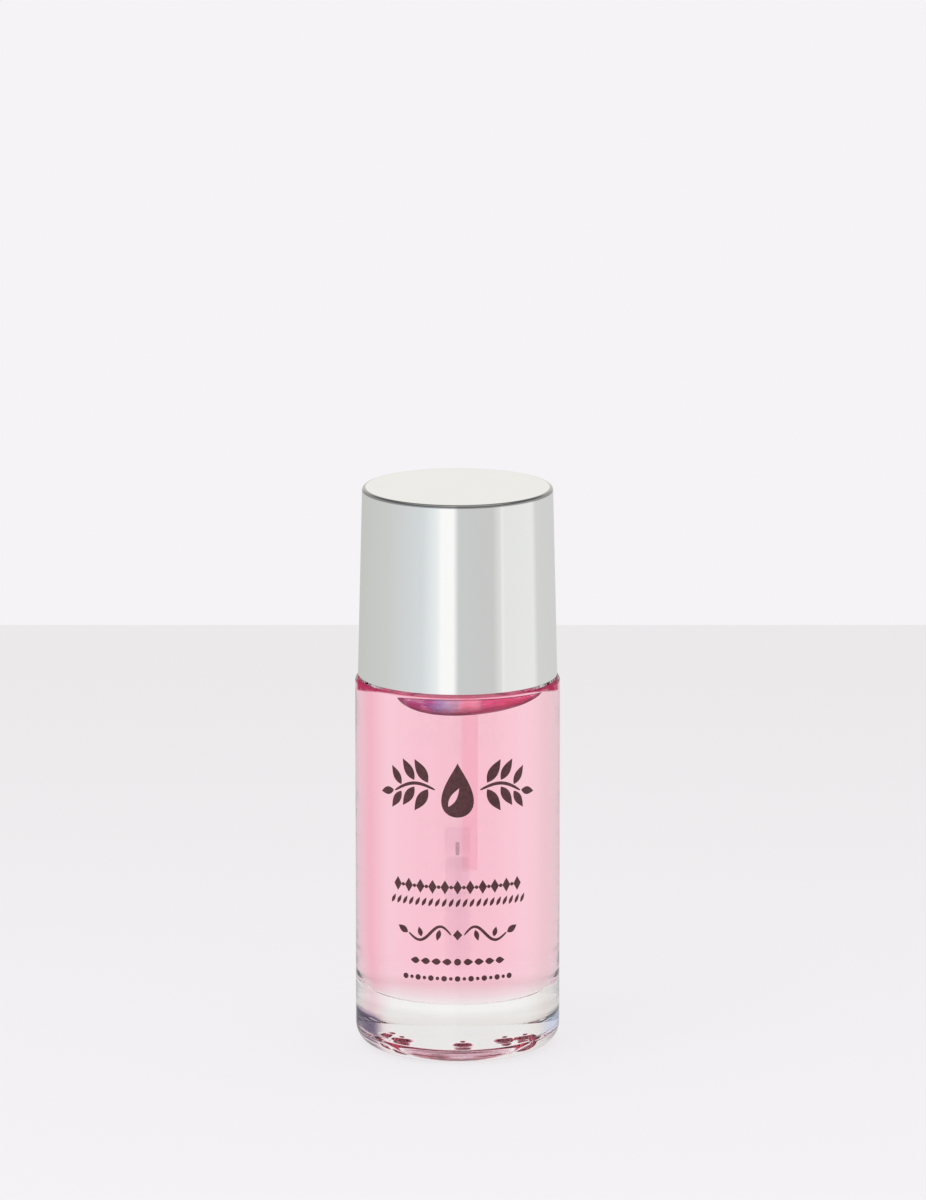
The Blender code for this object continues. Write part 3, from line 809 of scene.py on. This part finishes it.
def print_mesh(name, shapes):
    """Fills flat shapes, cuts them into upright strips and bends them round the bottle."""
    curve = bpy.data.curves.new(name, "CURVE")
    curve.dimensions = "2D"
    curve.fill_mode = "BOTH"
    curve.extrude = PRINT_THICKNESS
    for shape in shapes:
        spline = curve.splines.new("POLY")
        spline.points.add(len(shape) - 1)
        spline.use_cyclic_u = True
        for corner, point in zip(spline.points, shape):
            corner.co = (*point, 0, 1)
    flat = new_object(name, curve)
    graph = bpy.context.evaluated_depsgraph_get()
    body = bmesh.new()
    body.from_mesh(flat.evaluated_get(graph).to_mesh())
    bpy.data.objects.remove(flat)
    bmesh.ops.remove_doubles(body, verts=body.verts, dist=0.000001)
    strips = round(2 * PRINT_HALF_WIDTH / STRIP_WIDTH)
    for strip in range(1, strips):
        geometry = body.verts[:] + body.edges[:] + body.faces[:]
        cut = (STRIP_WIDTH * strip - PRINT_HALF_WIDTH, 0, 0)
        bmesh.ops.bisect_plane(body, geom=geometry, dist=0.0000001, plane_co=cut, plane_no=(1, 0, 0))
    for vertex in body.verts:
        along, height, lift = vertex.co
        angle = along / BODY_RADIUS
        radius = BODY_RADIUS + lift
        vertex.co = (radius * sin(angle), -radius * cos(angle), height)
    return smooth_mesh(name, body)


brown_ink = Finish("brown_ink")
mottle = brown_ink.noise(2600, detail=3.0)
brown_ink.set({
    "Base Color": brown_ink.blend(mottle.smooth(0.3, 0.7), linear(70, 30, 36), linear(92, 46, 50)),
    "Roughness": 0.30 + mottle * 0.2,
    "Normal": brown_ink.bump(mottle, 0.00001),
})
for name, shapes in (("printed_emblem", emblem), ("printed_rows", rows)):
    piece(print_mesh(name, shapes), "bottle", [brown_ink])

# %% [markdown]
# ## The overcap
#
# The tall silver cap is a moulded plastic shell with a bright metal coat. A mirror shows only what is round
# it, so its finish is nearly one colour and the studio does the rest. What makes it a real cap is small: the
# coat follows the plastic below, which is never quite flat, and the mould's gate leaves a tiny dimple on top.
# The foot is nearly sharp, and the rounding at the top is painted darker: a painted shade that draws a thin
# line.

# %% Mesh of the overcap
OVERCAP_FOOT, OVERCAP_TOP = [corner.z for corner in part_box("overcap")]
OVERCAP_FOOT_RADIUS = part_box("overcap")[1].x
OVERCAP_TOP_RADIUS = OVERCAP_FOOT_RADIUS - 0.00054
OVERCAP_CEILING = OVERCAP_TOP - 0.00125
OVERCAP_WALL = 0.0012
GATE_PLACE = 0.0036
GATE_RADIUS = 0.0005
GATE_DEPTH = 0.00006


def gate_relief(point, angle):
    """The dimple that the mould's gate leaves on the top, behind its middle."""
    radius, height = point
    if height > OVERCAP_TOP - GUARD:
        distance = hypot(radius * cos(angle), radius * sin(angle) - GATE_PLACE)
        if distance < GATE_RADIUS:
            height -= GATE_DEPTH * (0.5 + 0.5 * cos(pi * distance / GATE_RADIUS))
    return radius, height


overcap_outline = rounded([
    (0, OVERCAP_TOP, 0),
    (OVERCAP_TOP_RADIUS, OVERCAP_TOP, 0.0004),
    (OVERCAP_FOOT_RADIUS, OVERCAP_FOOT, 0.00006),
    (OVERCAP_FOOT_RADIUS - OVERCAP_WALL, OVERCAP_FOOT, 0.0002),
    (OVERCAP_TOP_RADIUS - OVERCAP_WALL, OVERCAP_CEILING, 0.0008),
    (0, OVERCAP_CEILING, 0),
])
gate_low = (GATE_PLACE - 2 * GATE_RADIUS, OVERCAP_TOP - GUARD)
gate_high = (GATE_PLACE + 20 * GATE_RADIUS, OVERCAP_TOP + GUARD)
overcap_outline = refined(overcap_outline, gate_low, gate_high, 0.00012)
overcap_mesh = turned("overcap_shell", overcap_outline, gate_relief)

# %% Finish of the overcap
EDGE_START = 0.00045
EDGE_FULL = 0.00033
EDGE_PAINTED_SHADE = (0.38, 0.38, 0.375, 1)

silver = Finish("silver_plating")
peel = silver.noise(420)
wipe = silver.noise(160, detail=5.0, stretch=(1, 1, 0.3))
# The rounding at the top is painted darker, a painted shade.
edge = silver.up.smooth(OVERCAP_TOP - EDGE_START, OVERCAP_TOP - EDGE_FULL)
edge = edge * silver.reach().smooth(OVERCAP_TOP_RADIUS - EDGE_START, OVERCAP_TOP_RADIUS - EDGE_FULL)
coat = silver.blend(wipe, (0.93, 0.93, 0.92, 1), (0.96, 0.96, 0.955, 1))
silver.set({
    "Base Color": silver.blend(edge, coat, EDGE_PAINTED_SHADE),
    "Metallic": 1,
    "Roughness": 0.05 + wipe.smooth(0.45, 0.75) * 0.05,
    "Normal": silver.bump(peel, 0.000004),
})
piece(overcap_mesh, "closure", [silver], "overcap")

# %% [markdown]
# ## The screw cap
#
# Inside the silver shell sits the part that does the work, a white plastic cap with the thread. It shows only
# when the bottle is open or seen from below. Its ribs and flange press into the shell, and a boss on its roof
# takes the plug of the brush. The ribs are a relief too: at a rib's angle the wall reaches further out.

# %% Mesh of the screw cap
CAP_FOOT, CAP_BOSS_TOP = [corner.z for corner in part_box("screw_cap")]
FLANGE_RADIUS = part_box("screw_cap")[1].x
CAP_CEILING = CAP_FOOT + 0.01267
CAP_TOP = CAP_CEILING + 0.0012
CAP_ROOT_RADIUS = 0.0080
CAP_RADIUS = 0.0090
FLANGE_TOP = CAP_FOOT + 0.0012
BOSS_RADIUS = 0.00355
HOLE_RADIUS = 0.00195
ROOM_RADIUS = 0.00235
ROOM_BOTTOM = CAP_CEILING + 0.0009
ROOM_TOP = CAP_BOSS_TOP - 0.0010
RIB_RADIUS = 0.01017
RIB_COUNT = 12
RIB_WIDTH = 0.0009
RIB_EDGE = 0.0002
CAP_THREAD_START = THREAD_START + THREAD_PITCH / 2


def screw_cap_relief(point, angle):
    """The thread on the inside and the ribs on the outside."""
    radius, height = point
    if abs(radius - CAP_ROOT_RADIUS) < GUARD and height < CAP_CEILING:
        radius -= thread(angle, height, CAP_THREAD_START, turns=1.25, crest=0.00065, width=0.0014)
    elif abs(radius - CAP_RADIUS) < GUARD and height < CAP_TOP - RIB_EDGE:
        pitch = tau / RIB_COUNT
        across = abs((angle + pitch / 2) % pitch - pitch / 2) * radius
        rise = min(1, max(0, (RIB_WIDTH / 2 + RIB_EDGE - across) / RIB_EDGE))
        radius += (RIB_RADIUS - CAP_RADIUS) * rise
    return radius, height


cap_outline = rounded([
    (0, CAP_BOSS_TOP, 0),
    (BOSS_RADIUS, CAP_BOSS_TOP, 0.0004),
    (BOSS_RADIUS, CAP_TOP, 0),
    (CAP_RADIUS, CAP_TOP, 0.0004),
    (CAP_RADIUS, FLANGE_TOP, 0),
    (FLANGE_RADIUS, FLANGE_TOP, 0.0002),
    (FLANGE_RADIUS, CAP_FOOT, 0.0002),
    (CAP_ROOT_RADIUS, CAP_FOOT, 0.00025),
    (CAP_ROOT_RADIUS, CAP_CEILING, 0),
    (HOLE_RADIUS, CAP_CEILING, 0),
    (HOLE_RADIUS, ROOM_BOTTOM, 0),
    (ROOM_RADIUS, ROOM_BOTTOM, 0),
    (ROOM_RADIUS, ROOM_TOP, 0),
    (0, ROOM_TOP, 0),
])
low, high = (CAP_ROOT_RADIUS - GUARD, CAP_FOOT), (CAP_ROOT_RADIUS + GUARD, CAP_CEILING)
cap_outline = refined(cap_outline, low, high, 0.00012)
cap_mesh = turned("screw_cap_body", cap_outline, screw_cap_relief)

# %% Finish of moulded plastic
def moulded_plastic(name, colour, roughness, grain):
    """Plain moulded plastic: a fine spark-eroded grain, and a gloss that varies a little."""
    finish = Finish(name)
    fine = finish.noise(grain, detail=3.0)
    broad = finish.noise(220, detail=3.0)
    worn = tuple(level * 0.93 for level in colour[:3])
    finish.set({
        "Base Color": finish.blend(broad.smooth(0.35, 0.75), colour, (*worn, 1)),
        "Roughness": roughness - 0.05 + broad * 0.1,
        "Normal": finish.bump(fine, 0.000006),
    })
    return finish


polypropylene = moulded_plastic("white_polypropylene", (0.80, 0.80, 0.79, 1), 0.42, 5200)
piece(cap_mesh, "closure", [polypropylene], "screw_cap")

# %% [markdown]
# ## The sealing liner
#
# A soft foam ring lies on the lip and keeps the oil in. Foam is cut from a sheet, so its edges are nearly
# square. The pores are a bump, because they are far finer than the ring is thick.

# %% Sealing liner
LINER_LOW, LINER_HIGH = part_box("sealing_liner")
LINER_BORE = 0.0019
liner_outline = rounded([
    (LINER_BORE, LINER_HIGH.z, 0),
    (LINER_HIGH.x, LINER_HIGH.z, 0.00015),
    (LINER_HIGH.x, LINER_LOW.z, 0.00015),
    (LINER_BORE, LINER_LOW.z, 0),
])
foam = Finish("white_foam")
pores = foam.node("ShaderNodeTexVoronoi", {"Vector": foam.place, "Scale": 7000})
stain = foam.noise(500, detail=4.0)
foam.set({
    "Base Color": foam.blend(stain.smooth(0.4, 0.8), (0.86, 0.86, 0.84, 1), (0.80, 0.77, 0.76, 1)),
    "Roughness": 0.78,
    "Normal": foam.bump(pores, 0.00003),
})
liner_mesh = turned("liner_ring", liner_outline, closed=True, sides=192)
piece(liner_mesh, "liner", [foam], "sealing_liner")

# %% [markdown]
# ## The brush
#
# The rod is natural polythene, milky and a little see-through. Its collar rests on the liner, its plug snaps
# into the screw cap, and hairs fill the socket at its end. Dry, milky plastic is best shown with subsurface
# scattering.
#
# In oil the brush nearly vanishes, because polythene, nylon and oil bend light almost alike. Blender has it
# bend and scatter as if it were in air. So light that has come through glass passes nearly straight through
# the brush. It leaves a painted shade on the rod's right side, a lilac tint at the hairs' root, and a soft
# spot at the staple.

# %% A finish that the oil hides
def hidden_in_oil(finish, share, clear_colour, tint_and_shade_colour, tint_and_shade_share):
    """Lets a share of the light that comes through glass pass straight through, clear or tinted; on the rod
    the tint is a painted shade.
    """
    clear = finish.node("ShaderNodeBsdfTransparent", {"Color": clear_colour})
    # The second shader tints the light; on the rod's right side this tint is a painted shade.
    stain = finish.node("ShaderNodeBsdfTransparent", {"Color": tint_and_shade_colour})
    wet = finish.over(share, finish.plain, finish.over(tint_and_shade_share, clear, stain))
    finish.show(finish.over(finish.ray("Transmission"), finish.plain, wet))


# %% Brush stem
STEM_RADIUS = 0.0016
SOCKET_RADIUS = 0.0011
COLLAR_RADIUS = LINER_HIGH.x
STEM_END, PLUG_TOP = [corner.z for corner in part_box("brush_stem")]
PLUG_FOOT = PLUG_TOP - 0.0010
PLUG_RADIUS = 0.0022
PLUG_NECK_RADIUS = 0.0018
COLLAR_SEAT = LINER_HIGH.z + 0.0003
COLLAR_TOP = COLLAR_SEAT + 0.0010
SOCKET_TOP = STEM_END + 0.0054
ROD_PAINTED_SHADE = (1, 0.92, 0.935, 1)

stem_outline = rounded([
    (0, PLUG_TOP, 0),
    (PLUG_RADIUS, PLUG_TOP, 0.0003),
    (PLUG_RADIUS, PLUG_FOOT, 0.0003),
    (PLUG_NECK_RADIUS, PLUG_FOOT, 0),
    (PLUG_NECK_RADIUS, COLLAR_TOP, 0),
    (COLLAR_RADIUS, COLLAR_TOP, 0.0002),
    (COLLAR_RADIUS, COLLAR_SEAT, 0.0002),
    (STEM_RADIUS, COLLAR_SEAT, 0.0004),
    (STEM_RADIUS, STEM_END, 0.00015),
    (SOCKET_RADIUS, STEM_END, 0.0001),
    (SOCKET_RADIUS, SOCKET_TOP, 0),
    (0, SOCKET_TOP, 0),
])
polythene = moulded_plastic("translucent_polythene", (0.90, 0.89, 0.90, 1), 0.32, 4000)
polythene.set({"Subsurface Weight": 0.5, "Subsurface Radius": (0.002, 0.002, 0.002), "Subsurface Scale": 1.0})
outer = polythene.reach().smooth(SOCKET_RADIUS + 0.0001, STEM_RADIUS - 0.0001)
# The rod's right side gets a painted shade.
hidden_in_oil(polythene, 0.985, WHITE, ROD_PAINTED_SHADE, polythene.right.smooth(0.0002, 0.0005) * outer)
stem_mesh = turned("brush_rod", stem_outline, sides=96)
piece(stem_mesh, "brush", [polythene], "brush_stem")

# %% Staple
STAPLE_BEVEL = 0.00006
STAPLE_LOW, STAPLE_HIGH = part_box("bristle_staple")
staple_body = bmesh.new()
size = STAPLE_HIGH - STAPLE_LOW
place = Matrix.Translation((STAPLE_HIGH + STAPLE_LOW) / 2) @ Matrix.Diagonal((*size, 1))
bmesh.ops.create_cube(staple_body, size=1, matrix=place)
bmesh.ops.bevel(staple_body, geom=staple_body.edges[:], offset=STAPLE_BEVEL, segments=3, affect="EDGES")
wire = Finish("staple_wire")
drawn = wire.noise(3000, detail=3.0, stretch=(1, 0.05, 1))
wire.set({
    "Base Color": wire.blend(drawn, (0.42, 0.40, 0.42, 1), (0.56, 0.54, 0.55, 1)),
    "Metallic": 1,
    "Roughness": 0.22 + drawn * 0.2,
    "Normal": wire.bump(drawn, 0.000004),
})
hidden_in_oil(wire, 0.78, WHITE, WHITE, 0)
staple_mesh = smooth_mesh("staple_clip", staple_body)
piece(staple_mesh, "brush", [wire], "bristle_staple")

# %% [markdown]
# The hairs are made one by one. Each is a thin tapered tube on a bent path: it starts in the socket, leans
# out a little and comes back to a domed tip. Seeded random numbers give each its own bow, so the tuft is the
# same in each run. A hair system would be quicker to write, but it doesn't become a plain mesh.

# %% Hairs
HAIR_RADIUS = 0.000040
HAIR_SPACING = 0.0000985
HAIR_SIDES = 5
HAIR_STEPS = 9
HAIR_SEED = 11
TIP_RADIUS = 0.00118
TIP_DOME = 0.0012
TIP_HEIGHT, ROOT_TOP = [corner.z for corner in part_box("bristle_tuft")]
TIP_SPREAD = 0.0003
BOW_SPREAD = 0.00003
ROOT_BOTTOM = STEM_END + 0.0014
ROOT_RADIUS = SOCKET_RADIUS - 0.0001
HAIR_START = ROOT_BOTTOM + 0.0002


def hair_places():
    """Places of the hairs on a triangular grid inside the socket."""
    row_step = HAIR_SPACING * sin(radians(60))
    rows = ceil(ROOT_RADIUS / row_step)
    for row in range(-rows, rows + 1):
        for column in range(-rows, rows + 1):
            place = Vector(((column + row % 2 / 2) * HAIR_SPACING, row * row_step))
            if place.length < ROOT_RADIUS - HAIR_RADIUS:
                yield place


def add_hair(body, place, chance):
    """One hair from the socket to its tip."""
    edge = place.length / ROOT_RADIUS
    tip = TIP_HEIGHT + TIP_DOME * edge ** 2 + chance.uniform(0, TIP_SPREAD)
    bow = Vector((chance.gauss(0, BOW_SPREAD), chance.gauss(0, BOW_SPREAD)))
    rings = []
    for step in range(HAIR_STEPS + 1):
        share = step / HAIR_STEPS
        spread = 1 + (TIP_RADIUS / ROOT_RADIUS - 1) * sin(share * pi * 0.62) * 1.05
        centre = place * spread + bow * sin(share * pi)
        height = HAIR_START + (tip - HAIR_START) * share
        radius = HAIR_RADIUS * (1 - 0.45 * share ** 3)
        ring = []
        for side in range(HAIR_SIDES):
            turn = tau * side / HAIR_SIDES
            x = centre.x + radius * cos(turn)
            y = centre.y + radius * sin(turn)
            ring.append(body.verts.new((x, y, height)))
        rings.append(ring)
    for upper, lower in zip(rings, rings[1:]):
        for side in range(HAIR_SIDES):
            after = (side + 1) % HAIR_SIDES
            body.faces.new((upper[side], upper[after], lower[after], lower[side]))
    body.faces.new(rings[0])
    body.faces.new(rings[-1][::-1])


chance = random.Random(HAIR_SEED)
hair_body = bmesh.new()
for place in hair_places():
    add_hair(hair_body, place, chance)
root_place = Matrix.Translation((0, 0, (ROOT_TOP + ROOT_BOTTOM) / 2))
bmesh.ops.create_cone(hair_body, cap_ends=True, segments=48, radius1=ROOT_RADIUS, radius2=ROOT_RADIUS,
                      depth=ROOT_TOP - ROOT_BOTTOM, matrix=root_place)

nylon = Finish("white_hair")
streak = nylon.noise(5000, stretch=(1, 1, 0.02))
nylon.set({
    "Base Color": nylon.blend(streak, (0.80, 0.77, 0.80, 1), (0.90, 0.88, 0.90, 1)),
    "Roughness": 0.30 + streak * 0.1,
    "Normal": nylon.bump(streak, 0.000003),
})
in_root = nylon.up.smooth(ROOT_BOTTOM + 0.0003, ROOT_BOTTOM + 0.0012)
hidden_in_oil(nylon, 0.996 - in_root * 0.020, (1, 0.999, 1, 1), (0.995, 0.982, 1, 1), in_root)
piece(smooth_mesh("hair_tuft", hair_body), "brush", [nylon], "bristle_tuft")

# %% [markdown]
# ## The studio
#
# Glass and metal have no look of their own: they show the room. A photographer builds that room from white
# cards, grey walls and a dark ceiling. Here the world shader holds it, and one soft lamp is added. Light Path
# tells what kind of ray asks: the camera sees a pale wall, mirrors see the cards, glass sees a bright
# backdrop, and matt things get plain even light. Real cards would do too, but they would show from other
# sides and slow the render down. Direction 0 is the camera's side for mirrors, and the far side for glass.

# %% Surroundings seen by mirrors and glass
WALL_COLOUR = linear(246, 243, 247)
MATT_LIGHT = (0.86, 0.86, 0.86, 1)

world = bpy.data.worlds.new("studio")
world.use_nodes = True
scene.world = world
room = Net(world.node_tree)
direction = room.node("ShaderNodeTexCoord", output="Generated")
x, y, z = room.axes(direction)
azimuth = x.math("ARCTAN2", x, -y) / tau + 0.5


def ring(turn, cards):
    """The colours of a ring of cards, each a direction in degrees (90 is the right) and three levels."""
    return room.ramp(turn, [(degrees / 360 + 0.5, linear(*levels)) for degrees, *levels in cards])


CARDS = [
    (-180, 196, 197, 193),
    (-90, 206, 208, 206),
    (-42, 216, 221, 224),
    (-24, 238, 242, 244),
    (-19, 255, 255, 255),
    (-5, 255, 255, 255),
    (1, 206, 207, 208),
    (22, 205, 205, 206),
    (42, 205, 205, 205),
    (52, 226, 226, 226),
    (54, 240, 240, 240),
    (58, 233, 234, 233),
    (100, 236, 237, 236),
    (108, 214, 215, 213),
    (180, 208, 209, 207),
]
cards = ring(azimuth, CARDS)
cards = room.blend(z.smooth(0.40, 0.50) - z.smooth(0.75, 0.90), cards, linear(140, 140, 143))
cards = room.blend((-z).smooth(0.40, 0.55), cards, linear(212, 208, 210))
cards = room.blend((y * 0.97 + z * 0.24).smooth(0.86, 0.96), cards, linear(241, 239, 235))
print("The ring of cards has", len(CARDS), "stops")

# %% Surroundings seen through glass, and by matt things
back_turn = x.math("ARCTAN2", x, y) * (360 / tau)
SCREENS = [
    (-180, 236, 233, 238),
    (-100, 236, 224, 232),
    (-75, 236, 235, 236),
    (-48, 244, 240, 238),
    (-30, 255, 255, 255),
    (30, 255, 255, 255),
    (46, 250, 218, 227),
    (62, 246, 234, 238),
    (80, 240, 248, 246),
    (100, 236, 231, 234),
    (180, 236, 233, 238),
]
backdrop = ring(back_turn / 360 + 0.5, SCREENS)
right_card = back_turn.smooth(36, 48) - back_turn.smooth(72, 88)
right_card = right_card * (z.smooth(0.08, 0.2) - z.smooth(0.4, 0.6))
left_card = (-back_turn).smooth(48, 58) * (z.smooth(0.06, 0.10) - z.smooth(0.12, 0.17))
backdrop = room.blend(right_card, backdrop, linear(116, 100, 124))
backdrop = room.blend(left_card, backdrop, linear(170, 158, 186))
backdrop = room.blend((-z).smooth(0.5, 0.8), backdrop, linear(232, 160, 186))
backdrop = room.blend(z.smooth(0.65, 0.95), backdrop, linear(176, 170, 178))

light = MATT_LIGHT
for kind, shown in (("Glossy", cards), ("Transmission", backdrop), ("Camera", WALL_COLOUR)):
    light = room.blend(room.ray(kind), light, shown)
room.plug(room.tree.nodes["Background"].inputs["Color"], light)

# %% [markdown]
# The table is plain paper. To the camera it is mostly a pale glow, and the rest of it takes the bottle's soft
# shadow. Mirrors and glass don't see it at all: the lower half of the world stands in for it there.

# %% Table
TABLE_BACK = 0.23
TABLE_FRONT = -1.4
TABLE_HALF_WIDTH = 1.2
TABLE_GLOW = 0.86

table_mesh = bpy.data.meshes.new("table")
ends = (TABLE_FRONT, TABLE_BACK)
table_corners = [(side * TABLE_HALF_WIDTH, end, 0) for end in ends for side in (-1, 1)]
table_mesh.from_pydata(table_corners, [], [(0, 1, 3, 2)])
table = new_object("table", table_mesh)

paper = Finish("table_paper")
# Towards the back the paper is painted a little darker, a painted shade.
tone = paper.blend(paper.back.smooth(-0.10, TABLE_BACK), linear(246, 243, 246), linear(236, 234, 235))
paper.set({"Base Color": tone, "Roughness": 0.9, "Specular IOR Level": 0.1})
glow = paper.node("ShaderNodeEmission", {"Color": tone})
paper.show(paper.over(paper.ray("Camera") * TABLE_GLOW, paper.plain, glow))
table_mesh.materials.append(paper.material)

# %% Soft lamp
lamp_data = bpy.data.lights.new("soft_lamp", "AREA")
lamp_data.size = 0.5
lamp_data.energy = 1.2
lamp = new_object("soft_lamp", lamp_data)
lamp.location = (-0.35, -0.30, 0.75)
lamp.rotation_euler = (-lamp.location).to_track_quat("-Z", "Y").to_euler()

for item in (table, lamp):
    item.visible_glossy = False
    item.visible_transmission = False

# %% [markdown]
# ## Last settings
#
# Light that crosses the wall of the glass four times, and is turned round inside it, needs more steps than
# Blender gives by default. The colours are shown as they are, with no film look.

# %% Settings and sizes
scene.view_settings.view_transform = "Standard"
scene.cycles.max_bounces = 64
scene.cycles.transmission_bounces = 64
scene.cycles.transparent_max_bounces = 128
scene.cycles.glossy_bounces = 8
